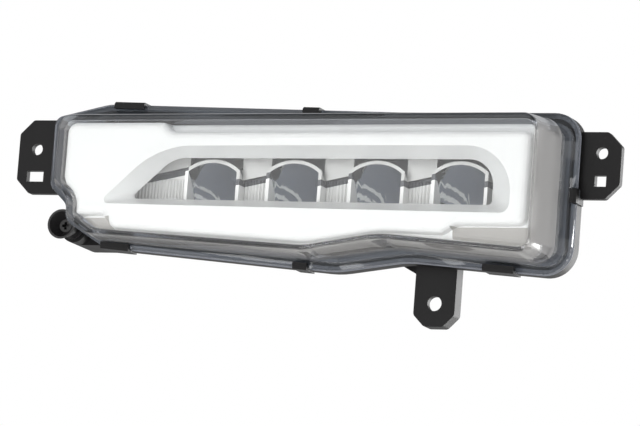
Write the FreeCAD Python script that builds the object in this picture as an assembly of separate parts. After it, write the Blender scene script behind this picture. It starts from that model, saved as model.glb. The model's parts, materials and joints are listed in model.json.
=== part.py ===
import FreeCAD, Part
import math
import os

# An auxiliary driving light: a black moulded housing with two screw ears and a lug, a clear raked lens,
# a white bezel with an eye-shaped recess, and a four-cell reflector that tilts on two pins for aiming.
# Millimetres. The origin is midway between the two ear screw holes, on the ears' front face.
# +X is to the right of someone facing the lamp, -Y is the way the beam leaves, and +Z is up.

# Screw ears, on the line of the origin
EAR_SPACING = 278.0
EAR_HOLE_D = 5.5
EAR_THICK = 3.6
EAR_END = 9.2
EAR_CORNER = 6.6
EAR_ROUND = 2.0
LEFT_EAR_TOP = 13.8
RIGHT_EAR_TOP = 9.6
EAR_BOTTOM = -21.0
EAR_ROOT = 8.0
EAR_WINDOW_DROP = 12.7
EAR_WINDOW_H = 5.2
LEFT_WINDOW_W = 8.4
RIGHT_WINDOW_W = 5.4

# Lower screw lug
LUG_X = 62.6
LUG_HOLE_Z = -69.0
LUG_HOLE_D = 6.8
LUG_WIDTH = 19.8
LUG_THICK = 3.2
LUG_BELOW_HOLE = 10.6
LUG_CORNER = 5.4
LUG_ROUND = 2.4
LUG_RIB_THICK = 2.2
LUG_RIB_DEPTH = 8.0
LUG_WEB_REACH = 20.0
LUG_WEB_DROP = 4.0

# Rim of the housing, seen from the front
RIM_LEFT = -128.6
RIM_RIGHT = 129.7
RIM_TOP_LEFT = 20.6
RIM_TOP_RIGHT = 17.4
RIM_SHOULDER_X = -101.0
RIM_SHOULDER_DROP = 6.4
RIM_TOP_BEND_X = 43.0
RIM_BOTTOM_RIGHT = -57.8
RIM_BOTTOM_LEFT = -46.8
RIM_CREST_X = 51.0
RIM_CREST_Z = -51.7
RIM_TROUGH_X = 17.0
RIM_TROUGH_Z = -56.7
RIM_NOTCH_X = -119.6
NOTCH_TOP = -18.5
NOTCH_HIGH = -27.0
NOTCH_LOW = -34.5
RIM_BOTTOM_LEFT_X = -99.0

# Front face of the lens, in its own raked plane
LENS_LEFT = -120.6
LENS_RIGHT = 118.6
LENS_TOP = 13.0
LENS_BOTTOM_RIGHT = -51.0
LENS_BOTTOM_LEFT_X = -102.0
LENS_BOTTOM_LEFT = -42.8
LENS_CREST_X = 43.0
LENS_CREST_Z = -44.5
LENS_TROUGH_X = 7.0
LENS_TROUGH_Z = -50.2
LENS_NOTCH_X = -113.0
LENS_NOTCH_LOW = -35.0
LENS_NOTCH_RISE = 1.4

# Lens section
LENS_WALL = 2.5
LENS_DRAFT = 5.0
LENS_FRONT_Y = -25.0
LENS_RAKE = 2.33
LENS_FLANGE_T = 2.8
LENS_EDGE_R = 1.4
LENS_INNER_EDGE_R = 0.8
TONGUE_T = 2.0
TONGUE_LENGTH = 4.0

# Rim, groove and tub of the housing
SEAT_Y = -2.8
RIM_WALL = 1.4
GROOVE_W = 4.6
GROOVE_DEPTH = 5.0
GROOVE_INNER_WALL = 2.0
RIM_BACK_Y = 4.0
TUB_BACK_Y = 53.0
TUB_WALL = 2.8
TUB_INSET = 5.0
TUB_TAPER = 6.5
TUB_EDGE = 2.5
TUB_RIGHT_SLANT = 9.5
LENS_CLEARANCE = 0.3
REAR_RIB_T = 2.0
REAR_RIB_H = 3.0
REAR_RIB_XS = (-96.0, -32.0, 0.0, 28.0, 92.0)
REAR_RIB_Z = -26.0
REAR_RIB_INSET = 4.0

# Snap hooks over the lens flange: which rim side, distance along it, width
HOOK_PROUD = 0.8
HOOK_OVERLAP = 0.9
HOOK_T = 2.2
HOOKS = ((1, 10.5, 15.0), (1, 101.0, 8.0), (3, 38.0, 6.6), (4, 34.0, 15.0), (6, 17.0, 7.0), (6, 110.0, 14.0))

# Bezel: a base behind the whole lens, and a raised front on it
BEZEL_T = 2.2
BEZEL_GAP = 0.7
RECESS_CUT_REACH = 12.0
BEZEL_SETBACK = 3.2
BEZEL_BACK_GAP = 0.4
BEZEL_EDGE_R = 3.4
BEZEL_INNER_EDGE_R = 0.6
BEZEL_STEP = 6.0
STEP_X = -68.0
STEP_RUN = 4.5
STEP_Z = 5.4
RAISED_RIGHT = 113.4
RIGHT_POCKET_X = 80.0
RIGHT_POCKET_Z = -37.4
RIGHT_POCKET_RUN = 7.0
RIGHT_POCKET_DROP = 4.0
RAISED_CREST_Z = -40.2
RAISED_TROUGH_Z = -45.6
LEFT_POCKET_X = -91.0
LEFT_POCKET_Z = -33.3
LEFT_POCKET_RUN = 5.0
LEFT_POCKET_DROP = 6.2
LEFT_POCKET_END = 7.0
FUNNEL_T = 1.8

# Recess of the bezel at its front face: left tip, upper left, upper right, lower right (x, z, radius)
RECESS_FRONT = ((-98.0, -28.4, 2.0), (-68.0, -1.5, 42.0), (106.0, -2.0, 22.0), (106.0, -32.4, 4.5))
# Window that the recess narrows to, in the same order
WINDOW = ((-86.5, -24.2, 1.4), (-66.0, -5.0, 16.0), (90.8, -4.6, 12.0), (90.8, -25.5, 2.0))
WINDOW_Y = -7.0

# Bezel pegs and the housing posts that take them (x, z)
PEGS = ((-100.0, 4.6), (107.0, 4.6), (104.0, -43.0), (-97.0, -33.5))
PEG_R = 1.7
PEG_LENGTH = 7.0
PEG_SHOULDER_R = 3.4
PEG_CLEARANCE = 0.1
POST_R = 4.4
POST_FRONT_Y = -1.0
POST_LENGTH = 26.0
PEG_ROOT = 1.0

# Reflector
CELL_COUNT = 4
CELL_PITCH = 40.4
CELL_FIRST_X = -47.6
CELL_WIDTH = 24.0
CELL_RISE = 19.4
CELL_FOCAL = 6.0
CELL_COLLAR = 4.5
REFLECTOR_T = 1.6
REFLECTOR_FRONT_Y = -4.0
REFLECTOR_MARGIN = 4.0
REFLECTOR_TOP_DROP = 1.0
PANEL_STEP = 2.6
PANEL_STEP_Z = -14.0
PANEL_STEP_SLOPE = 12.0
FLUTE_PITCH = 1.65
FLUTE_R = 0.75
FOOT_DEPTH = 11.0

# Light board, thermal pad and heat sink
BOARD_TOP_Z = -26.0
BOARD_T = 1.6
BOARD_LEAD = 1.0
BOARD_DEPTH = 20.0
BOARD_TAIL = 8.0
CHIP_SIZE = 3.6
CHIP_BASE_T = 0.6
CHIP_DOME_R = 1.4
PAD_T = 0.6
PAD_INSET = 1.0
SINK_BASE_T = 3.0
SINK_BACK_Y = 29.0
SINK_BACK_T = 3.0
SINK_END_INSET = 2.0
FIN_PITCH = 11.6
FIN_T = 2.0
FIN_DROP = 3.4
FIN_REAR = 8.0
FIN_TOP_Z = -7.0

# Carrier, its pivot pins and the adjuster arm
PIVOT_Y = 36.0
PIVOT_Z = -1.0
BEAM_DEPTH = 8.0
BEAM_HEIGHT = 8.0
BEAM_WALL = 2.0
BEAM_RIB_PITCH = 26.0
BUSH_END_GAP = 4.4
PIN_R = 2.5
PIN_CLEARANCE = 0.05
PIN_SHOULDER_R = 4.0
END_PLAY = 0.4
BUSH_T = 1.8
BUSH_FLANGE_R = 5.4
BUSH_FLANGE_T = 1.2
BUSH_LENGTH = 7.0
CRADLE_WALL = 2.4
CRADLE_ROOT = 3.0
ARM_WIDTH = 5.0
ARM_END_R = 4.0
ARM_THICK = 6.0
ARM_CLEARANCE = 2.0

# Aim adjuster
ADJUSTER_X = -125.6
ADJUSTER_Z = -34.4
CUP_FRONT_Y = 4.6
CUP_LENGTH = 8.0
CUP_R = 7.0
CUP_NECK_R = 4.6
CUP_LIP = 1.0
CUP_FLOOR_R = 3.0
CUP_BOWL_DEPTH = 5.0
SOCKET_ACROSS = 3.6
SOCKET_SLOT = 1.3
SOCKET_DEPTH = 2.6
SHAFT_R = 3.0
SHAFT_CLEARANCE = 0.06
THREAD_R = 2.0
THREAD_LENGTH = 11.0
COLLAR_R = 4.8
COLLAR_T = 2.0
BOSS_FRONT_Y = 19.2
BOSS_LENGTH = 9.8
BOSS_R = 6.2
CHAMBER_WALL = 1.6
CHAMBER_LENGTH = 15.0
SEAL_SECTION_R = 0.7
SEAL_FROM_FRONT = 3.4
CLIP_T = 0.8
CLIP_GAP = 0.15
CLIP_R = 4.2
CLIP_GROOVE = 0.6
CLIP_STUB = 1.0
NUT_WALL = 0.7
NUT_LENGTH = 6.0
NUT_CLEARANCE = 0.25

# Driver board on the rear wall
DRIVER_LEFT = 36.0
DRIVER_RIGHT = 99.2
DRIVER_TOP = -3.0
DRIVER_BOTTOM = -36.0
DRIVER_Y = 46.0
DRIVER_T = 1.6
STANDOFF_R = 3.4
STANDOFF_INSET = 4.5
SMALL_SCREW_R = 1.4
SMALL_HEAD_R = 2.7
SMALL_HEAD_T = 1.8
SMALL_SCREW_LENGTH = 4.6
SCREW_CLEARANCE = 0.2
COIL_R = 4.0
COIL_H = 3.2
CAN_R = 2.2
CAN_H = 3.0
PACKAGE_SIZE = 5.0
PACKAGE_H = 1.4

# Leads between the two boards
LEAD_R = 0.8
LEAD_SPACING = 2.6
LEAD_Z = -24.0
PLUG_LENGTH = 6.0
PLUG_HEIGHT = 4.0
PLUG_WALL = 1.4
LEAD_PLAY = 0.55
LEAD_END_PLAY = 1.5

# Connector socket on the rear wall
SOCKET_X = 68.0
SOCKET_Z = -14.0
SOCKET_W = 22.0
SOCKET_H = 14.0
SOCKET_WALL = 2.0
SOCKET_LENGTH = 16.0
LATCH_W = 5.0
LATCH_H = 1.6
LATCH_L = 3.0
PIN_COUNT = 4
PIN_PITCH = 4.0
PIN_W = 1.2
PIN_T = 0.8
PIN_TAIL = 2.0
PIN_REACH = 9.0

# Vent on the rear wall
VENT_X = -64.0
VENT_Z = -10.0
VENT_BORE_R = 2.5
VENT_COLLAR_R = 7.0
VENT_COLLAR_H = 3.0
MEMBRANE_T = 0.4
MEMBRANE_INSET = 0.6
CAP_WALL = 1.8
CAP_TOP_T = 1.6
CAP_AIR_GAP = 1.0
CAP_FOOT_GAP = 0.8
CAP_SLOT_W = 3.0
CAP_SLOT_COUNT = 4

# Cutting tools reach this far past what they cut
REACH = EAR_SPACING
OVERLAP = 0.5
TOUCH = 1e-6
MIN_CORNER_R = 1.0
ROLL_STEPS = 4
MAX_HOLLOW_R = 40.0

VX = FreeCAD.Vector(1, 0, 0)
VY = FreeCAD.Vector(0, 1, 0)
VZ = FreeCAD.Vector(0, 0, 1)


def point(x, y, z):
    return FreeCAD.Vector(x, y, z)


def box(x0, x1, y0, y1, z0, z1):
    return Part.makeBox(x1 - x0, y1 - y0, z1 - z0, point(x0, y0, z0))


def rod_x(y, z, radius, x0, x1):
    return Part.makeCylinder(radius, x1 - x0, point(x0, y, z), VX)


def rod_y(x, z, radius, y0, y1):
    return Part.makeCylinder(radius, y1 - y0, point(x, y0, z), VY)


def rod_z(x, y, radius, z0, z1):
    return Part.makeCylinder(radius, z1 - z0, point(x, y, z0), VZ)


def fuse(first, *others):
    return first.multiFuse(list(others)).removeSplitter()


def turned_y(x, z, profile):
    """Solid turned about the line through (x, z) along Y; the profile is a list of (radius, y)."""
    wire = Part.makePolygon([point(x + r, y, z) for r, y in profile]
                            + [point(x + profile[0][0], profile[0][1], z)])
    return Part.Face(wire).revolve(point(x, 0, z), VY, 360)


def grown(corners, grow):
    """Corners (x, z, radius) of an outline moved outwards by grow, with the radii following."""
    count = len(corners)
    pairs = [(corners[i], corners[(i + 1) % count]) for i in range(count)]
    turn = 1 if sum(a[0] * b[1] - b[0] * a[1] for a, b in pairs) > 0 else -1
    sides = []
    for a, b in pairs:
        length = math.hypot(b[0] - a[0], b[1] - a[1])
        nx, nz = turn * (b[1] - a[1]) / length, -turn * (b[0] - a[0]) / length
        sides.append((nx, nz, nx * a[0] + nz * a[1] + grow))
    moved = []
    for i, corner in enumerate(corners):
        (ax, az, ac), (bx, bz, bc) = sides[i - 1], sides[i]
        cross = ax * bz - az * bx
        x, z = (ac * bz - bc * az) / cross, (ax * bc - bx * ac) / cross
        if turn * cross > 0:
            radius = max(corner[2] + grow, MIN_CORNER_R)
        else:
            radius = min(max(corner[2] - grow, MIN_CORNER_R), max(corner[2], MAX_HOLLOW_R))
        moved.append((x, z, radius))
    return moved


def outline(corners, y):
    """Closed wire at depth y through the corners (x, z, radius), each rounded by an arc."""
    count = len(corners)
    arcs = []
    for i, (x, z, radius) in enumerate(corners):
        here = point(x, y, z)
        to_last = (point(corners[i - 1][0], y, corners[i - 1][1]) - here).normalize()
        to_next = (point(corners[(i + 1) % count][0], y, corners[(i + 1) % count][1]) - here).normalize()
        half = to_last.getAngle(to_next) / 2
        back = radius / math.tan(half)
        middle = here + (to_last + to_next).normalize() * (radius / math.sin(half) - radius)
        arcs.append((here + to_last * back, middle, here + to_next * back))
    edges = []
    for i, (start, middle, end) in enumerate(arcs):
        edges.append(Part.makeLine(arcs[i - 1][2], start))
        edges.append(Part.Arc(start, middle, end).toShape())
    return Part.Wire(edges)


def slab(corners, y0, y1):
    return Part.Face(outline(corners, y0)).extrude(VY * (y1 - y0))


def taper(front_corners, y_front, back_corners, y_back):
    return Part.makeLoft([outline(front_corners, y_front), outline(back_corners, y_back)], True, True)


def front_y(x, depth):
    """Depth of the raked plane that lies depth behind the lens front, at x."""
    return LENS_FRONT_Y + depth - x * math.tan(math.radians(LENS_RAKE))


def rolled(corners, depth, edge_r):
    """Filled form behind a raked front face: rounded front edge, drafted wall, cut off at the lens seat."""
    sections = []
    for i in range(ROLL_STEPS + 1):
        angle = math.pi / 2 * i / ROLL_STEPS
        sections.append((-edge_r * (1 - math.sin(angle)), depth + edge_r * (1 - math.cos(angle))))
    length = 2 * (SEAT_Y - LENS_FRONT_Y)
    sections.append((length * math.tan(math.radians(LENS_DRAFT)), depth + edge_r + length))
    form = Part.makeLoft([outline(grown(corners, grow), y) for grow, y in sections], True, True)
    form.rotate(point(0, 0, 0), VZ, -LENS_RAKE)
    form.translate(VY * LENS_FRONT_Y)
    return form.cut(box(-REACH, REACH, SEAT_Y, REACH, -REACH, REACH))


# Outlines of the rim and of the lens wall, clockwise from the upper left, as corners (x, z, radius)
RIM = ((RIM_LEFT, RIM_TOP_LEFT - RIM_SHOULDER_DROP, 5.0), (RIM_SHOULDER_X, RIM_TOP_LEFT, 20.0),
       (RIM_TOP_BEND_X, RIM_TOP_RIGHT, 60.0), (RIM_RIGHT, RIM_TOP_RIGHT, 12.0),
       (RIM_RIGHT, RIM_BOTTOM_RIGHT, 13.0), (RIM_CREST_X, RIM_CREST_Z, 42.0),
       (RIM_TROUGH_X, RIM_TROUGH_Z, 42.0), (RIM_BOTTOM_LEFT_X, RIM_BOTTOM_LEFT, 10.0),
       (RIM_NOTCH_X, NOTCH_LOW, 7.0), (RIM_NOTCH_X, NOTCH_HIGH, 4.0),
       (RIM_LEFT, NOTCH_TOP, 6.0))
LENS = ((LENS_LEFT, LENS_TOP, 7.0), (LENS_RIGHT, LENS_TOP, 8.0), (LENS_RIGHT, LENS_BOTTOM_RIGHT, 7.0),
        (LENS_CREST_X, LENS_CREST_Z, 42.0), (LENS_TROUGH_X, LENS_TROUGH_Z, 42.0),
        (LENS_BOTTOM_LEFT_X, LENS_BOTTOM_LEFT, 7.0),
        (LENS_NOTCH_X, LENS_NOTCH_LOW, 5.0), (LENS_NOTCH_X, NOTCH_HIGH + LENS_NOTCH_RISE, 9.0),
        (LENS_LEFT, NOTCH_TOP - LENS_NOTCH_RISE, 6.0))

GROOVE_INSET = RIM_WALL + GROOVE_W
CAVITY_INSET = GROOVE_INSET + GROOVE_INNER_WALL
TONGUE_INSET = RIM_WALL + (GROOVE_W - TONGUE_T) / 2
CAVITY_BACK_Y = TUB_BACK_Y - TUB_WALL
BEZEL_INSET = LENS_WALL + BEZEL_GAP
RAISED = ((LENS_LEFT + BEZEL_INSET, LENS_TOP - BEZEL_INSET, 5.0), (STEP_X, LENS_TOP - BEZEL_INSET, 4.0),
          (STEP_X + STEP_RUN, STEP_Z, 5.0), (RAISED_RIGHT, STEP_Z, 4.0), (RAISED_RIGHT, RIGHT_POCKET_Z, 4.0),
          (RIGHT_POCKET_X, RIGHT_POCKET_Z, 6.0),
          (RIGHT_POCKET_X - RIGHT_POCKET_RUN, RIGHT_POCKET_Z - RIGHT_POCKET_DROP, 4.0),
          (LENS_CREST_X, RAISED_CREST_Z, 42.0), (LENS_TROUGH_X, RAISED_TROUGH_Z, 42.0),
          (LEFT_POCKET_X, LEFT_POCKET_Z - LEFT_POCKET_DROP, 4.0),
          (LEFT_POCKET_X - LEFT_POCKET_RUN, LEFT_POCKET_Z, 4.0),
          (LENS_LEFT + BEZEL_INSET + LEFT_POCKET_END, LEFT_POCKET_Z, 5.0),
          (LENS_LEFT + BEZEL_INSET, NOTCH_TOP + 2 * LENS_NOTCH_RISE, 6.0))
CELL_XS = [CELL_FIRST_X + i * CELL_PITCH for i in range(CELL_COUNT)]
CELL_VERTEX_Y = REFLECTOR_FRONT_Y + CELL_RISE ** 2 / (4 * CELL_FOCAL)
PANEL_Y = REFLECTOR_FRONT_Y + CELL_COLLAR
REFLECTOR_LEFT = WINDOW[0][0] - REFLECTOR_MARGIN
REFLECTOR_RIGHT = WINDOW[2][0] + REFLECTOR_MARGIN
REFLECTOR_TOP = WINDOW[2][1] + REFLECTOR_MARGIN - REFLECTOR_TOP_DROP
BOARD_FRONT_Y = PANEL_Y - BOARD_LEAD
PAD_TOP_Z = BOARD_TOP_Z - BOARD_T
SINK_TOP_Z = PAD_TOP_Z - PAD_T
SINK_BOTTOM_Z = SINK_TOP_Z - SINK_BASE_T
SINK_LEFT = REFLECTOR_LEFT + SINK_END_INSET
SINK_RIGHT = REFLECTOR_RIGHT - SINK_END_INSET
SCREW_XS = [x + CELL_PITCH / 2 for x in CELL_XS[:-1]]
SCREW_Y = PANEL_Y + PANEL_STEP + FOOT_DEPTH / 2
BEAM_FRONT_Y = SINK_BACK_Y + SINK_BACK_T
BEAM_BACK_Y = BEAM_FRONT_Y + BEAM_DEPTH
BEAM_BOTTOM_Z = PIVOT_Z - BEAM_HEIGHT / 2
BEAM_TOP_Z = PIVOT_Z + BEAM_HEIGHT / 2
CARRIER_SCREW_XS = (CELL_XS[0], (CELL_XS[0] + CELL_XS[-1]) / 2, CELL_XS[-1])
BUSH_R = PIN_R + PIN_CLEARANCE + BUSH_T
BOSS_BACK_Y = BOSS_FRONT_Y + BOSS_LENGTH
CHAMBER_R = BOSS_R - CHAMBER_WALL
CHAMBER_BACK_Y = BOSS_BACK_Y + CHAMBER_LENGTH
NUT_BORE_R = THREAD_R + NUT_CLEARANCE
NUT_R = NUT_BORE_R + NUT_WALL
CLIP_Y = BOSS_BACK_Y + CLIP_GAP
LEAD_X = REFLECTOR_RIGHT + BOARD_TAIL / 2
LEAD_XS = (LEAD_X - LEAD_SPACING / 2, LEAD_X + LEAD_SPACING / 2)
PIN_XS = [SOCKET_X + (i - (PIN_COUNT - 1) / 2) * PIN_PITCH for i in range(PIN_COUNT)]
DRIVER_HOLES = [(x, z) for x in (DRIVER_LEFT + STANDOFF_INSET, DRIVER_RIGHT - STANDOFF_INSET)
                for z in (DRIVER_BOTTOM + STANDOFF_INSET, DRIVER_TOP - STANDOFF_INSET)]


def tub_share(y):
    """How far depth y lies along the tub, from 0 at the rim to 1 at the back."""
    return (y - RIM_BACK_Y) / (TUB_BACK_Y - RIM_BACK_Y)


def tub_inset(y):
    """How far the tub's outer wall lies inside the rim at depth y."""
    return TUB_INSET + TUB_TAPER * tub_share(y)


def tub_corners(y, inset):
    """The rim's outline moved in by inset, with its right end slanted in as far as the tub is at depth y."""
    slant = TUB_RIGHT_SLANT * tub_share(y)
    return [(x - slant if rim_x == RIM_RIGHT else x, z, r)
            for (x, z, r), (rim_x, _, _) in zip(grown(RIM, -inset), RIM)]


def end_wall_x(side, y):
    """Inner face of the tub's end wall at depth y; side is -1 left, 1 right."""
    inset = tub_inset(y) + TUB_WALL
    return RIM_LEFT + inset if side < 0 else RIM_RIGHT - inset - TUB_RIGHT_SLANT * tub_share(y)


def ear(side, top, window_w):
    """One screw ear with its round hole and its square window; side is -1 left, 1 right."""
    hole_x = side * EAR_SPACING / 2
    tip_x = hole_x + side * EAR_END
    root_x = (RIM_LEFT if side < 0 else RIM_RIGHT) - side * EAR_ROOT
    cut = EAR_CORNER
    profile = [(root_x, top), (tip_x - side * cut, top), (tip_x, top - cut), (tip_x, EAR_BOTTOM + cut),
               (tip_x - side * cut, EAR_BOTTOM), (root_x, EAR_BOTTOM)]
    plate = slab([(x, z, EAR_ROUND) for x, z in profile], 0, EAR_THICK)
    window = box(hole_x - window_w / 2, hole_x + window_w / 2, -OVERLAP, EAR_THICK + OVERLAP,
                 -EAR_WINDOW_DROP - EAR_WINDOW_H / 2, -EAR_WINDOW_DROP + EAR_WINDOW_H / 2)
    return plate.cut(window).cut(rod_y(hole_x, 0, EAR_HOLE_D / 2, -OVERLAP, EAR_THICK + OVERLAP))


def lug():
    """Lower screw lug, a plate with a rib round its edge, and the web that braces it."""
    left, right = LUG_X - LUG_WIDTH / 2, LUG_X + LUG_WIDTH / 2
    top = RIM_CREST_Z + RIM_WALL + TUB_INSET
    bottom = LUG_HOLE_Z - LUG_BELOW_HOLE
    front = RIM_BACK_Y - OVERLAP
    back = RIM_BACK_Y + LUG_THICK
    cut = LUG_CORNER
    profile = [(left, top), (left, bottom + cut), (left + cut, bottom), (right - cut, bottom),
               (right, bottom + cut), (right, top)]
    corners = [(x, z, LUG_ROUND) for x, z in profile]
    plate = slab(corners, RIM_BACK_Y, back)
    root = box(left, right, front, back, RIM_CREST_Z, top)
    rib = ring(corners, 0, LUG_RIB_THICK, RIM_BACK_Y, RIM_BACK_Y + LUG_RIB_DEPTH)
    web_low = RIM_CREST_Z - LUG_WEB_DROP
    web_profile = [(left - LUG_WEB_REACH, top), (left, web_low), (left + LUG_RIB_THICK, web_low),
                   (left + LUG_RIB_THICK, top), (left - LUG_WEB_REACH, top)]
    corners = [point(x, RIM_BACK_Y + LUG_RIB_DEPTH - LUG_RIB_THICK, z) for x, z in web_profile]
    web = Part.Face(Part.makePolygon(corners + corners[:1])).extrude(VY * LUG_RIB_THICK)
    solid = fuse(plate, root, web, rib)
    return solid.cut(rod_y(LUG_X, LUG_HOLE_Z, LUG_HOLE_D / 2, front, back + LUG_RIB_DEPTH))


def on_rim(side, along, solid):
    """A solid made at the origin, turned and moved to a place along one side of the rim."""
    (ax, az, _), (bx, bz, _) = RIM[side], RIM[(side + 1) % len(RIM)]
    angle = math.atan2(bz - az, bx - ax)
    solid.rotate(point(0, 0, 0), VY, -math.degrees(angle))
    solid.translate(point(ax + along * math.cos(angle), 0, az + along * math.sin(angle)))
    return solid


def hooks():
    """Snap hooks that reach from the rim over the edge of the lens flange."""
    flange_front = SEAT_Y - LENS_FLANGE_T
    blocks = []
    for side, along, width in HOOKS:
        stem = box(-width / 2, width / 2, flange_front, RIM_BACK_Y - OVERLAP, -RIM_WALL, HOOK_PROUD)
        profile = [(flange_front, -RIM_WALL - HOOK_OVERLAP), (flange_front, HOOK_PROUD),
                   (flange_front - HOOK_T / 2, HOOK_PROUD), (flange_front - HOOK_T, HOOK_PROUD - HOOK_T / 2),
                   (flange_front - HOOK_T, -RIM_WALL - HOOK_OVERLAP)]
        corners = [point(-width / 2, y, z) for y, z in profile]
        nose = Part.Face(Part.makePolygon(corners + corners[:1])).extrude(VX * width)
        blocks.append(on_rim(side, along, fuse(stem, nose)))
    return blocks


def hook_notches():
    """Openings in the lens flange that the stems of the hooks pass through."""
    return [on_rim(side, along, box(-width / 2 - LENS_CLEARANCE, width / 2 + LENS_CLEARANCE,
                                    SEAT_Y - LENS_FLANGE_T - OVERLAP, SEAT_Y + OVERLAP,
                                    -RIM_WALL - LENS_CLEARANCE, HOOK_PROUD)) for side, along, width in HOOKS]


def adjuster_bulge():
    """Solid and hollow of the boss and chamber that hold the aim adjuster, beside the tub."""
    arm_room = beam_end(-1) + ARM_WIDTH + ARM_CLEARANCE
    back = CHAMBER_BACK_Y + TUB_WALL
    tube = rod_y(ADJUSTER_X, ADJUSTER_Z, BOSS_R, BOSS_FRONT_Y, back)
    bridge = box(ADJUSTER_X, arm_room + TUB_WALL, BOSS_BACK_Y - TUB_WALL, back,
                 ADJUSTER_Z - BOSS_R, ADJUSTER_Z + BOSS_R)
    bore = rod_y(ADJUSTER_X, ADJUSTER_Z, SHAFT_R + SHAFT_CLEARANCE,
                 BOSS_FRONT_Y - OVERLAP, BOSS_BACK_Y + OVERLAP)
    chamber = rod_y(ADJUSTER_X, ADJUSTER_Z, CHAMBER_R, BOSS_BACK_Y, CHAMBER_BACK_Y)
    passage = box(ADJUSTER_X, arm_room, BOSS_BACK_Y, CHAMBER_BACK_Y,
                  ADJUSTER_Z - CHAMBER_R, ADJUSTER_Z + CHAMBER_R)
    return fuse(tube, bridge), fuse(chamber, passage, bore)


def bush_span(side):
    """Inner and outer ends, along X, of the pivot bush at one side (-1 left, 1 right)."""
    outer = end_wall_x(side, PIVOT_Y + BUSH_R) - side * BUSH_END_GAP
    return outer - side * BUSH_LENGTH, outer


def beam_end(side):
    """End, along X, of the carrier's beam beside the pivot bush at one side (-1 left, 1 right)."""
    return bush_span(side)[0] - side * (BUSH_FLANGE_T + 2 * END_PLAY + BUSH_FLANGE_T)


def cradle(side):
    """U-shaped block on the tub's end wall and roof that takes a pivot bush from the front."""
    inner, bush_end = bush_span(side)
    inner += side * BUSH_FLANGE_T
    wall_x = end_wall_x(side, PIVOT_Y) + side * TUB_WALL
    half = BUSH_R + CRADLE_WALL
    block = box(min(inner, wall_x), max(inner, wall_x), PIVOT_Y - half, CAVITY_BACK_Y + OVERLAP,
                PIVOT_Z - half, PIVOT_Z + REACH)
    seat = fuse(rod_x(PIVOT_Y, PIVOT_Z, BUSH_R, min(inner, bush_end), max(inner, bush_end)),
                box(min(inner, bush_end), max(inner, bush_end), PIVOT_Y - half - OVERLAP, PIVOT_Y,
                    PIVOT_Z - BUSH_R, PIVOT_Z + BUSH_R))
    return block.cut(seat)


def ring(corners, outer_inset, inner_inset, y0, y1):
    """Band of even width along an outline, between two insets and two depths."""
    hole = slab(grown(corners, -inner_inset), y0 - OVERLAP, y1 + OVERLAP)
    return slab(grown(corners, -outer_inset), y0, y1).cut(hole)


def room(spare):
    """Hollow of the tub, made larger by spare at its walls and its back."""
    back = tub_corners(CAVITY_BACK_Y, tub_inset(CAVITY_BACK_Y) + TUB_WALL - spare)
    return taper(grown(RIM, spare - CAVITY_INSET), SEAT_Y, back, CAVITY_BACK_Y + spare)


def tub():
    """Rim, tapered tub and rounded back edge, with the ears, the lug and the adjuster's bulge, hollowed out."""
    edge_y = TUB_BACK_Y - TUB_EDGE
    rim = slab(RIM, SEAT_Y, RIM_BACK_Y)
    shoulder = tub_corners(edge_y, tub_inset(edge_y))
    body = taper(grown(RIM, -TUB_INSET), RIM_BACK_Y - OVERLAP, shoulder, edge_y)
    edge = taper(shoulder, edge_y, tub_corners(TUB_BACK_Y, tub_inset(edge_y) + TUB_EDGE), TUB_BACK_Y)
    bulge, hollow = adjuster_bulge()
    ears = [ear(-1, LEFT_EAR_TOP, LEFT_WINDOW_W), ear(1, RIGHT_EAR_TOP, RIGHT_WINDOW_W)]
    solid = fuse(rim, body, edge, bulge, lug(), *ears)
    for hollow_part in (room(0), hollow, ring(RIM, RIM_WALL, GROOVE_INSET, SEAT_Y, SEAT_Y + GROOVE_DEPTH)):
        solid = solid.cut(hollow_part)
    return solid


def posts():
    """Posts on the tub's upper and lower walls that take the bezel's pegs, each with a rib to its wall."""
    inside = room(OVERLAP)
    back = POST_FRONT_Y + POST_LENGTH
    solids = []
    for x, z in PEGS:
        wall_z = RIM_TOP_LEFT if z > LENS_CREST_Z / 2 else RIM_BOTTOM_RIGHT
        rib = box(x - REAR_RIB_T / 2, x + REAR_RIB_T / 2, POST_FRONT_Y + PEG_ROOT, back,
                  min(z, wall_z), max(z, wall_z))
        solids.append(rod_y(x, z, POST_R, POST_FRONT_Y, back).fuse(rib).common(inside))
    return solids


def rear_features():
    """Connector socket with its latch, vent collar and stiffening ribs on the back of the tub."""
    start = TUB_BACK_Y - OVERLAP
    socket_end = TUB_BACK_Y + SOCKET_LENGTH
    socket_top = SOCKET_Z + SOCKET_H / 2
    socket = box(SOCKET_X - SOCKET_W / 2, SOCKET_X + SOCKET_W / 2, start, socket_end,
                 SOCKET_Z - SOCKET_H / 2, socket_top)
    latch_y = TUB_BACK_Y + SOCKET_LENGTH / 2
    latch = box(SOCKET_X - LATCH_W / 2, SOCKET_X + LATCH_W / 2, latch_y, latch_y + LATCH_L,
                socket_top - OVERLAP, socket_top + LATCH_H)
    collar = rod_y(VENT_X, VENT_Z, VENT_COLLAR_R, start, TUB_BACK_Y + VENT_COLLAR_H)
    end = TUB_BACK_Y + REAR_RIB_H
    face = slab(tub_corners(TUB_BACK_Y, tub_inset(TUB_BACK_Y) + REAR_RIB_INSET), start, end)
    ribs = [box(x - REAR_RIB_T / 2, x + REAR_RIB_T / 2, start, end, -REACH, REACH).common(face)
            for x in REAR_RIB_XS]
    ribs.append(box(-REACH, REACH, start, end,
                    REAR_RIB_Z - REAR_RIB_T / 2, REAR_RIB_Z + REAR_RIB_T / 2).common(face))
    return [socket, latch, collar] + ribs


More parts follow.
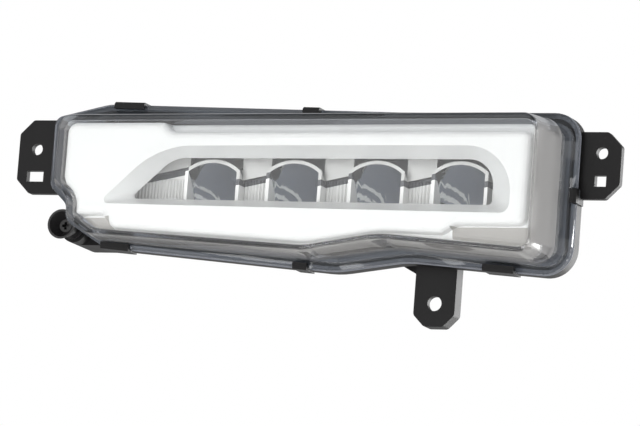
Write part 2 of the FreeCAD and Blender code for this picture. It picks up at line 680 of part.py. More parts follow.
def make_housing():
    standoffs = [rod_y(x, z, STANDOFF_R, DRIVER_Y + DRIVER_T, CAVITY_BACK_Y + OVERLAP)
                 for x, z in DRIVER_HOLES]
    cradles = [cradle(side).common(room(OVERLAP)) for side in (-1, 1)]
    solid = fuse(tub(), *posts(), *standoffs, *cradles, *rear_features(), *hooks())
    mouth = box(SOCKET_X - SOCKET_W / 2 + SOCKET_WALL, SOCKET_X + SOCKET_W / 2 - SOCKET_WALL, TUB_BACK_Y,
                TUB_BACK_Y + SOCKET_LENGTH + OVERLAP, SOCKET_Z - SOCKET_H / 2 + SOCKET_WALL,
                SOCKET_Z + SOCKET_H / 2 - SOCKET_WALL)
    cuts = [mouth, rod_y(VENT_X, VENT_Z, VENT_BORE_R, CAVITY_BACK_Y - OVERLAP,
                         TUB_BACK_Y + VENT_COLLAR_H + OVERLAP)]
    cuts += [box(x - PIN_W / 2, x + PIN_W / 2, CAVITY_BACK_Y - OVERLAP, TUB_BACK_Y + OVERLAP,
                 SOCKET_Z - PIN_T / 2, SOCKET_Z + PIN_T / 2) for x in PIN_XS]
    cuts += [rod_y(x, z, SMALL_SCREW_R, DRIVER_Y, DRIVER_Y + SMALL_SCREW_LENGTH) for x, z in DRIVER_HOLES]
    cuts += [rod_y(x, z, PEG_R + PEG_CLEARANCE, POST_FRONT_Y - OVERLAP, POST_FRONT_Y + PEG_LENGTH + PEG_ROOT)
             for x, z in PEGS]
    for tool in cuts:
        solid = solid.cut(tool)
    return solid


def tongue():
    """Band behind the lens flange that stands in the housing's groove."""
    return ring(RIM, TONGUE_INSET, TONGUE_INSET + TONGUE_T, SEAT_Y, SEAT_Y + TONGUE_LENGTH)


def make_lens():
    flange = slab(grown(RIM, -LENS_CLEARANCE), SEAT_Y - LENS_FLANGE_T, SEAT_Y)
    for notch in hook_notches():
        flange = flange.cut(notch)
    inner = rolled(grown(LENS, -LENS_WALL), LENS_WALL, LENS_INNER_EDGE_R)
    return fuse(fuse(rolled(LENS, 0, LENS_EDGE_R), flange).cut(inner), tongue())


def make_sealant():
    return ring(RIM, RIM_WALL, GROOVE_INSET, SEAT_Y, SEAT_Y + GROOVE_DEPTH).cut(tongue())


def bezel_form(inset, depth, edge_r):
    """Filled form of the bezel, made smaller by inset on its sides and set depth behind the lens front."""
    sides = grown(LENS, -BEZEL_INSET - inset)
    base = rolled(sides, depth + BEZEL_STEP, edge_r)
    return fuse(base, rolled(grown(RAISED, -inset), depth, edge_r).common(rolled(sides, depth, edge_r)))


def funnel(grow):
    """Recess that narrows from the bezel's front to the window, carried on past the front."""
    far_y = LENS_FRONT_Y - RECESS_CUT_REACH
    far = []
    for (fx, fz, fr), (wx, wz, wr) in zip(RECESS_FRONT, WINDOW):
        share = (WINDOW_Y - far_y) / (WINDOW_Y - front_y(fx, BEZEL_SETBACK))
        far.append((wx + (fx - wx) * share, wz + (fz - wz) * share, max(wr + (fr - wr) * share, wr)))
    return taper(grown(far, grow), far_y, grown(WINDOW, grow), WINDOW_Y)


def make_bezel():
    outer = bezel_form(0, BEZEL_SETBACK, BEZEL_EDGE_R)
    outer = outer.cut(box(-REACH, REACH, SEAT_Y - BEZEL_BACK_GAP, REACH, -REACH, REACH))
    skin = outer.cut(bezel_form(BEZEL_T, BEZEL_SETBACK + BEZEL_T, BEZEL_INNER_EDGE_R))
    skin = fuse(skin, funnel(FUNNEL_T).common(outer))
    shoulders = [rod_y(x, z, PEG_SHOULDER_R, LENS_FRONT_Y, POST_FRONT_Y).common(outer)
                 .fuse(rod_y(x, z, PEG_SHOULDER_R, SEAT_Y - 2 * BEZEL_BACK_GAP, POST_FRONT_Y)) for x, z in PEGS]
    pegs = [rod_y(x, z, PEG_R, POST_FRONT_Y - PEG_ROOT, POST_FRONT_Y + PEG_LENGTH) for x, z in PEGS]
    return fuse(skin, *shoulders, *pegs).cut(funnel(0))


def cell_form(x, grow):
    """Half paraboloid of one cell, carried out to the collar's front; grow thickens it."""
    rise = CELL_RISE + grow
    vertex = CELL_VERTEX_Y + grow
    curve = Part.BezierCurve()
    curve.setPoles([point(x, vertex, BOARD_TOP_Z), point(x, vertex, BOARD_TOP_Z + rise / 2),
                    point(x, REFLECTOR_FRONT_Y, BOARD_TOP_Z + rise)])
    front = point(x, REFLECTOR_FRONT_Y, BOARD_TOP_Z)
    profile = Part.Wire([curve.toShape(), Part.makeLine(point(x, REFLECTOR_FRONT_Y, BOARD_TOP_Z + rise), front),
                         Part.makeLine(front, point(x, vertex, BOARD_TOP_Z))])
    bowl = Part.Face(profile).revolve(point(x, 0, BOARD_TOP_Z), VY, 360)
    half = CELL_WIDTH / 2 + grow
    return bowl.common(box(x - half, x + half, REFLECTOR_FRONT_Y, vertex, BOARD_TOP_Z, BOARD_TOP_Z + rise))


def panel_spans():
    """Left and right edges of the panels beside and between the cells."""
    half = CELL_WIDTH / 2 + REFLECTOR_T - OVERLAP
    lefts = [REFLECTOR_LEFT] + [x + half for x in CELL_XS]
    rights = [x - half for x in CELL_XS] + [REFLECTOR_RIGHT]
    return list(zip(lefts, rights))


def panel(left, right):
    """Stepped panel: a smooth upper part, a sloping step, and a set-back lower part with upright flutes."""
    rise = (right - left) * math.tan(math.radians(PANEL_STEP_SLOPE))
    upper = [point(left, PANEL_Y, PANEL_STEP_Z), point(right, PANEL_Y, PANEL_STEP_Z + rise),
             point(right, PANEL_Y, REFLECTOR_TOP), point(left, PANEL_Y, REFLECTOR_TOP)]
    top = Part.Face(Part.makePolygon(upper + upper[:1])).extrude(VY * (PANEL_STEP + REFLECTOR_T))
    low_y = PANEL_Y + PANEL_STEP
    low = box(left, right, low_y, low_y + REFLECTOR_T, BOARD_TOP_Z, REFLECTOR_TOP)
    count = int((right - left) / FLUTE_PITCH)
    first = (left + right - (count - 1) * FLUTE_PITCH) / 2
    flutes = [rod_z(first + i * FLUTE_PITCH, low_y, FLUTE_R, BOARD_TOP_Z, PANEL_STEP_Z + OVERLAP)
              for i in range(count)]
    return fuse(top, low, *flutes)


def make_reflector():
    shells = [cell_form(x, REFLECTOR_T) for x in CELL_XS]
    panels = [panel(left, right) for left, right in panel_spans()]
    foot_y = PANEL_Y + PANEL_STEP
    feet = [box(x - CELL_PITCH / 2 + CELL_WIDTH / 2, x + CELL_PITCH / 2 - CELL_WIDTH / 2,
                foot_y, foot_y + FOOT_DEPTH,
                BOARD_TOP_Z, BOARD_TOP_Z + REFLECTOR_T) for x in SCREW_XS]
    roof = box(REFLECTOR_LEFT, REFLECTOR_RIGHT, PANEL_Y, PANEL_Y + PANEL_STEP + REFLECTOR_T,
               REFLECTOR_TOP - REFLECTOR_T, REFLECTOR_TOP)
    solid = fuse(shells[0], *shells[1:], *panels, *feet, roof)
    for x in CELL_XS:
        solid = solid.cut(cell_form(x, 0))
    for x in SCREW_XS:
        solid = solid.cut(rod_z(x, SCREW_Y, SMALL_SCREW_R + SCREW_CLEARANCE, BOARD_TOP_Z - OVERLAP,
                                BOARD_TOP_Z + REFLECTOR_T + OVERLAP))
    return solid


def pierced(solid):
    """A flat layer with the clearance holes of the heat sink screws."""
    for x in SCREW_XS:
        solid = solid.cut(rod_z(x, SCREW_Y, SMALL_SCREW_R + SCREW_CLEARANCE, SINK_TOP_Z, BOARD_TOP_Z + OVERLAP))
    return solid


def make_led_board():
    return pierced(box(REFLECTOR_LEFT, REFLECTOR_RIGHT + BOARD_TAIL, BOARD_FRONT_Y, BOARD_FRONT_Y + BOARD_DEPTH,
                       PAD_TOP_Z, BOARD_TOP_Z))


def make_thermal_pad():
    return pierced(box(SINK_LEFT + PAD_INSET, SINK_RIGHT - PAD_INSET, BOARD_FRONT_Y + PAD_INSET,
                       BOARD_FRONT_Y + BOARD_DEPTH - PAD_INSET, SINK_TOP_Z, PAD_TOP_Z))


def make_led_packages():
    focus_y = CELL_VERTEX_Y - CELL_FOCAL
    chips = []
    for x in CELL_XS:
        base = box(x - CHIP_SIZE / 2, x + CHIP_SIZE / 2, focus_y - CHIP_SIZE / 2, focus_y + CHIP_SIZE / 2,
                   BOARD_TOP_Z, BOARD_TOP_Z + CHIP_BASE_T)
        dome = Part.makeSphere(CHIP_DOME_R, point(x, focus_y, BOARD_TOP_Z + CHIP_BASE_T), VZ, 0, 90, 360)
        chips.append(base.fuse(dome).removeSplitter())
    return Part.makeCompound(chips)


def make_heat_sink():
    base = box(SINK_LEFT, SINK_RIGHT, BOARD_FRONT_Y, SINK_BACK_Y + SINK_BACK_T, SINK_BOTTOM_Z, SINK_TOP_Z)
    back = box(SINK_LEFT, SINK_RIGHT, SINK_BACK_Y, SINK_BACK_Y + SINK_BACK_T, SINK_BOTTOM_Z, BEAM_TOP_Z)
    fin_back = SINK_BACK_Y + SINK_BACK_T + FIN_REAR
    low = SINK_BOTTOM_Z - FIN_DROP
    profile = [(BOARD_FRONT_Y + FIN_DROP, SINK_BOTTOM_Z + OVERLAP), (BOARD_FRONT_Y + 2 * FIN_DROP, low),
               (fin_back - FIN_DROP, low), (fin_back, low + FIN_DROP), (fin_back, FIN_TOP_Z),
               (SINK_BACK_Y + OVERLAP, FIN_TOP_Z), (SINK_BACK_Y + OVERLAP, SINK_BOTTOM_Z + OVERLAP)]
    count = int((SINK_RIGHT - SINK_LEFT - FIN_T) / FIN_PITCH) + 1
    first = (SINK_LEFT + SINK_RIGHT - (count - 1) * FIN_PITCH - FIN_T) / 2
    fins = []
    for i in range(count):
        corners = [point(first + i * FIN_PITCH, y, z) for y, z in profile]
        fins.append(Part.Face(Part.makePolygon(corners + corners[:1])).extrude(VX * FIN_T))
    solid = fuse(base, back, *fins)
    for x in SCREW_XS:
        solid = solid.cut(rod_z(x, SCREW_Y, SMALL_SCREW_R, SINK_BOTTOM_Z - OVERLAP, SINK_TOP_Z + OVERLAP))
    for x in CARRIER_SCREW_XS:
        solid = solid.cut(rod_y(x, PIVOT_Z, SMALL_SCREW_R + SCREW_CLEARANCE, SINK_BACK_Y - OVERLAP,
                                BEAM_FRONT_Y + OVERLAP))
    return solid


def make_heat_sink_screws():
    head_z = BOARD_TOP_Z + REFLECTOR_T
    return Part.makeCompound([
        rod_z(x, SCREW_Y, SMALL_SCREW_R, SINK_BOTTOM_Z, head_z + OVERLAP).fuse(
            rod_z(x, SCREW_Y, SMALL_HEAD_R, head_z, head_z + SMALL_HEAD_T)).removeSplitter() for x in SCREW_XS])


def make_carrier():
    beam = box(beam_end(-1), beam_end(1), BEAM_FRONT_Y, BEAM_BACK_Y, BEAM_BOTTOM_Z, BEAM_TOP_Z)
    count = round((beam_end(1) - beam_end(-1) - BEAM_WALL) / BEAM_RIB_PITCH)
    cell = (beam_end(1) - beam_end(-1) - BEAM_WALL) / count
    for i in range(count):
        left = beam_end(-1) + BEAM_WALL + i * cell
        beam = beam.cut(box(left, left + cell - BEAM_WALL, BEAM_FRONT_Y + 2 * BEAM_WALL, BEAM_BACK_Y + OVERLAP,
                            BEAM_BOTTOM_Z + BEAM_WALL, BEAM_TOP_Z - BEAM_WALL))
    pins = []
    for side, end in ((-1, beam_end(-1)), (1, beam_end(1))):
        inner, outer = bush_span(side)
        shoulder = inner - side * END_PLAY
        tip = outer - side * END_PLAY
        pins.append(rod_x(PIVOT_Y, PIVOT_Z, PIN_SHOULDER_R, min(end, shoulder), max(end, shoulder)))
        pins.append(rod_x(PIVOT_Y, PIVOT_Z, PIN_R, min(end, tip), max(end, tip)))
    arm_front, arm_back = PIVOT_Y - ARM_THICK / 2, PIVOT_Y + ARM_THICK / 2
    upright = box(beam_end(-1), beam_end(-1) + ARM_WIDTH, arm_front, arm_back,
                  ADJUSTER_Z - ARM_END_R, BEAM_BOTTOM_Z + OVERLAP)
    reach = box(ADJUSTER_X, beam_end(-1) + OVERLAP, arm_front, arm_back,
                ADJUSTER_Z - ARM_END_R, ADJUSTER_Z + ARM_END_R)
    eye = rod_y(ADJUSTER_X, ADJUSTER_Z, ARM_END_R, arm_front, arm_back)
    solid = fuse(beam, upright, reach, eye, *pins)
    solid = solid.cut(rod_y(ADJUSTER_X, ADJUSTER_Z, NUT_R, arm_front - OVERLAP, arm_back + OVERLAP))
    for x in CARRIER_SCREW_XS:
        solid = solid.cut(rod_y(x, PIVOT_Z, SMALL_SCREW_R, BEAM_FRONT_Y - OVERLAP, BEAM_BACK_Y))
    return solid


def make_carrier_screws():
    return Part.makeCompound([
        rod_y(x, PIVOT_Z, SMALL_SCREW_R, SINK_BACK_Y - OVERLAP, BEAM_FRONT_Y + 2 * BEAM_WALL).fuse(
            rod_y(x, PIVOT_Z, SMALL_HEAD_R, SINK_BACK_Y - SMALL_HEAD_T, SINK_BACK_Y)).removeSplitter()
        for x in CARRIER_SCREW_XS])


def make_pivot_bush(side):
    inner, outer = bush_span(side)
    step = inner + side * BUSH_FLANGE_T
    sleeve = rod_x(PIVOT_Y, PIVOT_Z, BUSH_R, min(inner, outer), max(inner, outer))
    flange = rod_x(PIVOT_Y, PIVOT_Z, BUSH_FLANGE_R, min(inner, step), max(inner, step))
    bore = rod_x(PIVOT_Y, PIVOT_Z, PIN_R + PIN_CLEARANCE,
                 min(inner, outer) - OVERLAP, max(inner, outer) + OVERLAP)
    return fuse(sleeve, flange).cut(bore)


def make_adjuster_screw():
    neck_y = CUP_FRONT_Y + CUP_LENGTH
    collar_y = BOSS_FRONT_Y - CLIP_GAP - COLLAR_T
    seal_y = BOSS_FRONT_Y + SEAL_FROM_FRONT
    seal_r = SHAFT_R - SEAL_SECTION_R
    clip_end = CLIP_Y + CLIP_T
    stub_end = clip_end + CLIP_STUB
    profile = [(0, CUP_FRONT_Y + CUP_BOWL_DEPTH), (CUP_FLOOR_R, CUP_FRONT_Y + CUP_BOWL_DEPTH),
               (CUP_R - CUP_LIP, CUP_FRONT_Y), (CUP_R, CUP_FRONT_Y), (CUP_NECK_R, neck_y), (SHAFT_R, neck_y),
               (SHAFT_R, collar_y), (COLLAR_R, collar_y), (COLLAR_R, collar_y + COLLAR_T),
               (SHAFT_R, collar_y + COLLAR_T), (SHAFT_R, seal_y - SEAL_SECTION_R),
               (seal_r, seal_y - SEAL_SECTION_R), (seal_r, seal_y + SEAL_SECTION_R),
               (SHAFT_R, seal_y + SEAL_SECTION_R), (SHAFT_R, CLIP_Y),
               (SHAFT_R - CLIP_GROOVE, CLIP_Y), (SHAFT_R - CLIP_GROOVE, clip_end), (SHAFT_R, clip_end),
               (SHAFT_R, stub_end), (THREAD_R, stub_end), (THREAD_R, stub_end + THREAD_LENGTH),
               (0, stub_end + THREAD_LENGTH)]
    solid = turned_y(ADJUSTER_X, ADJUSTER_Z, profile)
    floor = CUP_FRONT_Y + CUP_BOWL_DEPTH
    for half_x, half_z in ((SOCKET_ACROSS / 2, SOCKET_SLOT / 2), (SOCKET_SLOT / 2, SOCKET_ACROSS / 2)):
        solid = solid.cut(box(ADJUSTER_X - half_x, ADJUSTER_X + half_x, floor - OVERLAP, floor + SOCKET_DEPTH,
                              ADJUSTER_Z - half_z, ADJUSTER_Z + half_z))
    return solid


def make_adjuster_seal():
    ring_r = SHAFT_R - SEAL_SECTION_R / 2
    ring = Part.makeTorus(ring_r, SEAL_SECTION_R / 2,
                          point(ADJUSTER_X, BOSS_FRONT_Y + SEAL_FROM_FRONT, ADJUSTER_Z), VY)
    return ring


def make_adjuster_clip():
    inner = SHAFT_R - CLIP_GROOVE
    ring = rod_y(ADJUSTER_X, ADJUSTER_Z, CLIP_R, CLIP_Y, CLIP_Y + CLIP_T)
    ring = ring.cut(rod_y(ADJUSTER_X, ADJUSTER_Z, inner, CLIP_Y - OVERLAP, CLIP_Y + CLIP_T + OVERLAP))
    return ring.cut(box(ADJUSTER_X - inner, ADJUSTER_X + inner, CLIP_Y - OVERLAP, CLIP_Y + CLIP_T + OVERLAP,
                        ADJUSTER_Z, ADJUSTER_Z + CLIP_R))


def make_adjuster_nut():
    front, back = PIVOT_Y - NUT_LENGTH / 2, PIVOT_Y + NUT_LENGTH / 2
    return rod_y(ADJUSTER_X, ADJUSTER_Z, NUT_R, front, back).cut(
        rod_y(ADJUSTER_X, ADJUSTER_Z, NUT_BORE_R, front - OVERLAP, back + OVERLAP))


def make_led_plug():
    half = LEAD_SPACING / 2 + LEAD_R + PLUG_WALL
    back = BOARD_FRONT_Y + BOARD_DEPTH
    solid = box(LEAD_X - half, LEAD_X + half, back - PLUG_LENGTH, back, BOARD_TOP_Z, BOARD_TOP_Z + PLUG_HEIGHT)
    for x in LEAD_XS:
        solid = solid.cut(rod_y(x, LEAD_Z, LEAD_R, back - PLUG_LENGTH / 2, back + OVERLAP))
    return solid


def make_lead(x):
    start = BOARD_FRONT_Y + BOARD_DEPTH - PLUG_LENGTH / 2
    return rod_y(x, LEAD_Z, LEAD_R, start, DRIVER_Y - 2 * LEAD_END_PLAY)


def make_driver_plug():
    half = LEAD_SPACING / 2 + LEAD_R + LEAD_PLAY + PLUG_WALL
    high = LEAD_R + LEAD_PLAY + PLUG_WALL
    solid = box(LEAD_X - half, LEAD_X + half, DRIVER_Y - PLUG_LENGTH, DRIVER_Y, LEAD_Z - high, LEAD_Z + high)
    for x in LEAD_XS:
        solid = solid.cut(rod_y(x, LEAD_Z, LEAD_R + LEAD_PLAY, DRIVER_Y - PLUG_LENGTH - OVERLAP,
                                DRIVER_Y - LEAD_END_PLAY))
    return solid


def make_driver_board():
    solid = box(DRIVER_LEFT, DRIVER_RIGHT, DRIVER_Y, DRIVER_Y + DRIVER_T, DRIVER_BOTTOM, DRIVER_TOP)
    for x, z in DRIVER_HOLES:
        solid = solid.cut(rod_y(x, z, SMALL_SCREW_R + SCREW_CLEARANCE,
                                DRIVER_Y - OVERLAP, DRIVER_Y + DRIVER_T + OVERLAP))
    for x in PIN_XS:
        solid = solid.cut(box(x - PIN_W / 2, x + PIN_W / 2, DRIVER_Y - OVERLAP, DRIVER_Y + DRIVER_T + OVERLAP,
                              SOCKET_Z - PIN_T / 2, SOCKET_Z + PIN_T / 2))
    return solid


def make_driver_screws():
    return Part.makeCompound([
        rod_y(x, z, SMALL_SCREW_R, DRIVER_Y - OVERLAP, DRIVER_Y + SMALL_SCREW_LENGTH).fuse(
            rod_y(x, z, SMALL_HEAD_R, DRIVER_Y - SMALL_HEAD_T, DRIVER_Y)).removeSplitter()
        for x, z in DRIVER_HOLES])


def make_driver_components():
    """A coil, three capacitors and two chips on the driver board's front."""
    z_row = DRIVER_BOTTOM + 2 * STANDOFF_INSET + COIL_R / 2
    left = DRIVER_LEFT + 3 * STANDOFF_INSET
    parts = [rod_y(left, z_row, COIL_R, DRIVER_Y - COIL_H, DRIVER_Y)]
    parts += [rod_y(left + COIL_R + (i + 1) * 3 * CAN_R, z_row, CAN_R, DRIVER_Y - CAN_H, DRIVER_Y)
              for i in range(3)]
    chip_z = SOCKET_Z + PACKAGE_SIZE
    parts += [box(x, x + PACKAGE_SIZE, DRIVER_Y - PACKAGE_H, DRIVER_Y, chip_z - PACKAGE_SIZE, chip_z)
              for x in (DRIVER_LEFT + 2 * STANDOFF_INSET, DRIVER_LEFT + 2 * STANDOFF_INSET + 2 * PACKAGE_SIZE)]
    return Part.makeCompound(parts)


def make_connector_pins():
    return Part.makeCompound([box(x - PIN_W / 2, x + PIN_W / 2, DRIVER_Y - PIN_TAIL, TUB_BACK_Y + PIN_REACH,
                                  SOCKET_Z - PIN_T / 2, SOCKET_Z + PIN_T / 2) for x in PIN_XS])


def make_vent_membrane():
    end = TUB_BACK_Y + VENT_COLLAR_H
    return rod_y(VENT_X, VENT_Z, VENT_COLLAR_R - MEMBRANE_INSET, end, end + MEMBRANE_T)


def make_vent_cap():
    outer_r = VENT_COLLAR_R + CAP_WALL
    top = TUB_BACK_Y + VENT_COLLAR_H + MEMBRANE_T + CAP_AIR_GAP
    foot = TUB_BACK_Y + CAP_FOOT_GAP
    solid = rod_y(VENT_X, VENT_Z, outer_r, foot, top + CAP_TOP_T)
    rim_edges = [e for e in solid.Edges if all(abs(v.Y - top - CAP_TOP_T) < TOUCH for v in e.Vertexes)]
    solid = solid.makeFillet(CAP_TOP_T / 2, rim_edges)
    solid = solid.cut(rod_y(VENT_X, VENT_Z, VENT_COLLAR_R, foot - OVERLAP, top))
    for i in range(CAP_SLOT_COUNT):
        slot = box(VENT_X - CAP_SLOT_W / 2, VENT_X + CAP_SLOT_W / 2, foot - OVERLAP, top,
                   VENT_Z, VENT_Z + outer_r + OVERLAP)
        slot.rotate(point(VENT_X, 0, VENT_Z), VY, i * 360 / CAP_SLOT_COUNT + 45)
        solid = solid.cut(slot)
    return solid


MAKERS = {
    "housing": make_housing,
    "lens": make_lens,
    "lens_sealant": make_sealant,
    "bezel": make_bezel,
    "reflector": make_reflector,
    "led_board": make_led_board,
    "led_packages": make_led_packages,
    "thermal_pad": make_thermal_pad,
    "heat_sink": make_heat_sink,
    "heat_sink_screws": make_heat_sink_screws,
    "carrier": make_carrier,
    "carrier_screws": make_carrier_screws,
    "left_pivot_bush": lambda: make_pivot_bush(-1),
    "right_pivot_bush": lambda: make_pivot_bush(1),
    "adjuster_screw": make_adjuster_screw,
    "adjuster_seal": make_adjuster_seal,
    "adjuster_clip": make_adjuster_clip,
    "adjuster_nut": make_adjuster_nut,
    "led_plug": make_led_plug,
    "led_lead_red": lambda: make_lead(LEAD_XS[0]),
    "led_lead_black": lambda: make_lead(LEAD_XS[1]),
    "driver_plug": make_driver_plug,
    "driver_board": make_driver_board,
    "driver_components": make_driver_components,
    "driver_screws": make_driver_screws,
    "connector_pins": make_connector_pins,
    "vent_cap": make_vent_cap,
    "vent_membrane": make_vent_membrane,
}


def main():
    os.makedirs("parts", exist_ok=True)
    for node, maker in MAKERS.items():
        shape = maker()
        shape.exportStep(f"parts/{node}.step")
        state = "valid" if shape.isValid() else "not valid"
        print(node, len(shape.Solids), "solid(s)", round(shape.Volume, 1), "mm3", state)


if __name__ == "__main__":
    main()
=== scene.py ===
# %% [markdown]
# # A front driving light, dressed in Blender
# The real lamp is a slim, sealed unit. A clear cover is glued into a black moulded housing, a white bezel frames
# the window, and four bright half-bowls throw the beam. The shapes come packed from CAD, so this lesson is mostly
# about finishes: clear plastic that lets light in, bright metal film, satin white, and grained black.
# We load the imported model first. Every later piece is placed in its frame, in metres.

# %% Load the frame
import json
import math

import bmesh
import bpy
from mathutils import Matrix, Vector


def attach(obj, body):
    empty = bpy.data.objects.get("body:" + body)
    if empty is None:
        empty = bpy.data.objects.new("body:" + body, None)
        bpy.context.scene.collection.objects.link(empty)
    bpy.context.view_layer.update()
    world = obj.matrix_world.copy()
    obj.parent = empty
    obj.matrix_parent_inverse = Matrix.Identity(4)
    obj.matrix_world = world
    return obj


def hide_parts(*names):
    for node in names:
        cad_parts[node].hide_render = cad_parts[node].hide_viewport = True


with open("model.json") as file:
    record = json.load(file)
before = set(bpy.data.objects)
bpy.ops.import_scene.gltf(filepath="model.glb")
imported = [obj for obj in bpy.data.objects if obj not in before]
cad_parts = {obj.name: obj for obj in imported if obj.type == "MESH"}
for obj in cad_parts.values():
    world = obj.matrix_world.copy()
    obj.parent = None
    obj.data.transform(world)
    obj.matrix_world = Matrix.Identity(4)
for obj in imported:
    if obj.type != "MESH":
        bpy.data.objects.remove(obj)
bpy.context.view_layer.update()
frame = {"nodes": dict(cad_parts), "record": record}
nodes = frame["nodes"]
MM = 0.001

# %% [markdown]
# ## The camera
# The photograph was taken a little from below and from the lamp's right, with a long lens and the camera
# slightly tilted. We rebuild that view from three angles and a distance, and aim at the point that sits in the
# frame's middle. Aiming, rather than shifting the picture, keeps the lamp centred when another view moves the
# camera.

# %% Camera
CAMERA_YAW, CAMERA_RISE, CAMERA_ROLL = math.radians(22.0), math.radians(-10.0), math.radians(4.4)
CAMERA_DISTANCE, CAMERA_SEES_TO = 2.5, 50.0
CAMERA_LENS, CAMERA_SENSOR = 307.3, 36.0
AIM_RIGHT, AIM_UP = 2.75 * MM, -28.3 * MM

toward_camera = Vector((math.sin(CAMERA_YAW) * math.cos(CAMERA_RISE),
                        -math.cos(CAMERA_YAW) * math.cos(CAMERA_RISE), math.sin(CAMERA_RISE)))
level_right = Vector((math.cos(CAMERA_YAW), math.sin(CAMERA_YAW), 0))
level_up = toward_camera.cross(level_right)
view_right = level_right * math.cos(CAMERA_ROLL) + level_up * math.sin(CAMERA_ROLL)
view_up = level_up * math.cos(CAMERA_ROLL) - level_right * math.sin(CAMERA_ROLL)

eye = toward_camera * CAMERA_DISTANCE
aim = view_right * AIM_RIGHT + view_up * AIM_UP
back = (eye - aim).normalized()
right = view_up.cross(back).normalized()
up = back.cross(right)

camera_data = bpy.data.cameras.new("photo_camera")
camera_data.lens = CAMERA_LENS
camera_data.sensor_width = CAMERA_SENSOR
camera_data.clip_end = CAMERA_SEES_TO
camera = bpy.data.objects.new("photo_camera", camera_data)
bpy.context.scene.collection.objects.link(camera)
camera.matrix_world = Matrix.Translation(eye) @ Matrix((right, up, back)).transposed().to_4x4()
bpy.context.scene.camera = camera
print("camera at", [round(v, 3) for v in eye])

# %% [markdown]
# ## Studio light
# Product shots like this use big soft lights and a white surround. The key light stands in front, on the
# viewer's left, so the lamp's right-hand wall falls into shade. A weak one fills from the right, a low one lights
# the slopes of the recess from below, and one behind shows the back of the housing in other views. The surround
# is pure white to the camera but dimmer to everything else, so that black plastic stays black.

# %% Floor, surround and lights
# Place, point aimed at, size in metres and power in watts of each light
LIGHTS = {
    "key_light": ((-0.9, -1.9, 0.2), (0, 0, 0), 1.3, 4.8),
    "fill_light": ((1.6, -1.2, -0.1), (0, 0, 0), 1.0, 3.0),
    "low_light": ((-0.1, -0.85, -0.68), (0, 0, -0.02), 0.7, 5.6),
    "back_light": ((0.7, 1.8, -0.1), (0, 0, 0), 1.2, 30.0),
}
SURROUND_ON_LAMP, SURROUND_TO_CAMERA = 0.47, 1.0
FLOOR_Z, FLOOR_HALF = -0.75, 3.0
FLOOR_COLOUR, FLOOR_ROUGH = (0.86, 0.86, 0.85), 0.8


def soft_light(name, place, aimed_at, size, power):
    """One square area light that faces a point."""
    data = bpy.data.lights.new(name, "AREA")
    data.shape, data.size, data.energy = "SQUARE", size, power
    light = bpy.data.objects.new(name, data)
    light.location = place
    light.rotation_euler = (Vector(aimed_at) - Vector(place)).to_track_quat("-Z", "Y").to_euler()
    bpy.context.scene.collection.objects.link(light)


for name, (place, aimed_at, size, power) in LIGHTS.items():
    soft_light(name, place, aimed_at, size, power)

world = bpy.data.worlds.new("white_surround")
bpy.context.scene.world = world
world.use_nodes = True
sky = world.node_tree
on_lamp, to_camera = sky.nodes["Background"], sky.nodes.new("ShaderNodeBackground")
for surround, strength in ((on_lamp, SURROUND_ON_LAMP), (to_camera, SURROUND_TO_CAMERA)):
    surround.inputs["Color"].default_value = (1, 1, 1, 1)
    surround.inputs["Strength"].default_value = strength
which_ray = sky.nodes.new("ShaderNodeLightPath")
choose = sky.nodes.new("ShaderNodeMixShader")
sky.links.new(which_ray.outputs["Is Camera Ray"], choose.inputs[0])
sky.links.new(on_lamp.outputs[0], choose.inputs[1])
sky.links.new(to_camera.outputs[0], choose.inputs[2])
sky.links.new(choose.outputs[0], sky.nodes["World Output"].inputs["Surface"])
bpy.context.scene.view_settings.view_transform = "Standard"

floor_mesh = bpy.data.meshes.new("studio_floor")
floor_corners = [(x * FLOOR_HALF, y * FLOOR_HALF, FLOOR_Z) for x, y in ((-1, -1), (1, -1), (1, 1), (-1, 1))]
floor_mesh.from_pydata(floor_corners, [], [(0, 1, 2, 3)])
floor = bpy.data.objects.new("studio_floor", floor_mesh)
bpy.context.scene.collection.objects.link(floor)
floor_paint = bpy.data.materials.new("pale_floor")
floor_paint.use_nodes = True
floor_shader = floor_paint.node_tree.nodes["Principled BSDF"]
floor_shader.inputs["Base Color"].default_value = (*FLOOR_COLOUR, 1)
floor_shader.inputs["Roughness"].default_value = FLOOR_ROUGH
floor_mesh.materials.append(floor_paint)
print("lights:", len(LIGHTS), "floor at", FLOOR_Z)

# %% [markdown]
# ## Three effects that several finishes share
# Moulded plastic is never one flat tone: the tool leaves a fine grain, and gloss drifts a little from place to
# place. A shader node group is the tidy way to share that. `mould_grain` puts out a height for a Bump node, and
# `drift` puts out a value that wanders slowly around one, to multiply into roughness and colour. `box_mask` is
# one inside a box of the part's own coordinates, for a patch with another tone.

# %% Shared shader groups
def feed(tree, socket, value):
    """Give a socket a number, a colour or another node's output."""
    if isinstance(value, float):
        socket.default_value = value
    elif isinstance(value, tuple):
        socket.default_value = (*value, 1)
    else:
        tree.links.new(value, socket)


def math_node(tree, operation, *values):
    """One Math node on numbers or outputs, and its own output."""
    node = tree.nodes.new("ShaderNodeMath")
    node.operation = operation
    for socket, value in zip(node.inputs, values):
        feed(tree, socket, value)
    return node.outputs[0]


def new_group(name, inputs, output):
    """An empty shader group with number inputs {name: default} and one output, its in and out nodes and its
    Object coordinates."""
    group = bpy.data.node_groups.new(name, "ShaderNodeTree")
    for label, value in inputs.items():
        socket = group.interface.new_socket(label, in_out="INPUT", socket_type="NodeSocketFloat")
        socket.default_value = value
    group.interface.new_socket(output, in_out="OUTPUT", socket_type="NodeSocketFloat")
    place = group.nodes.new("ShaderNodeTexCoord").outputs["Object"]
    return group, group.nodes.new("NodeGroupInput").outputs, group.nodes.new("NodeGroupOutput").inputs, place


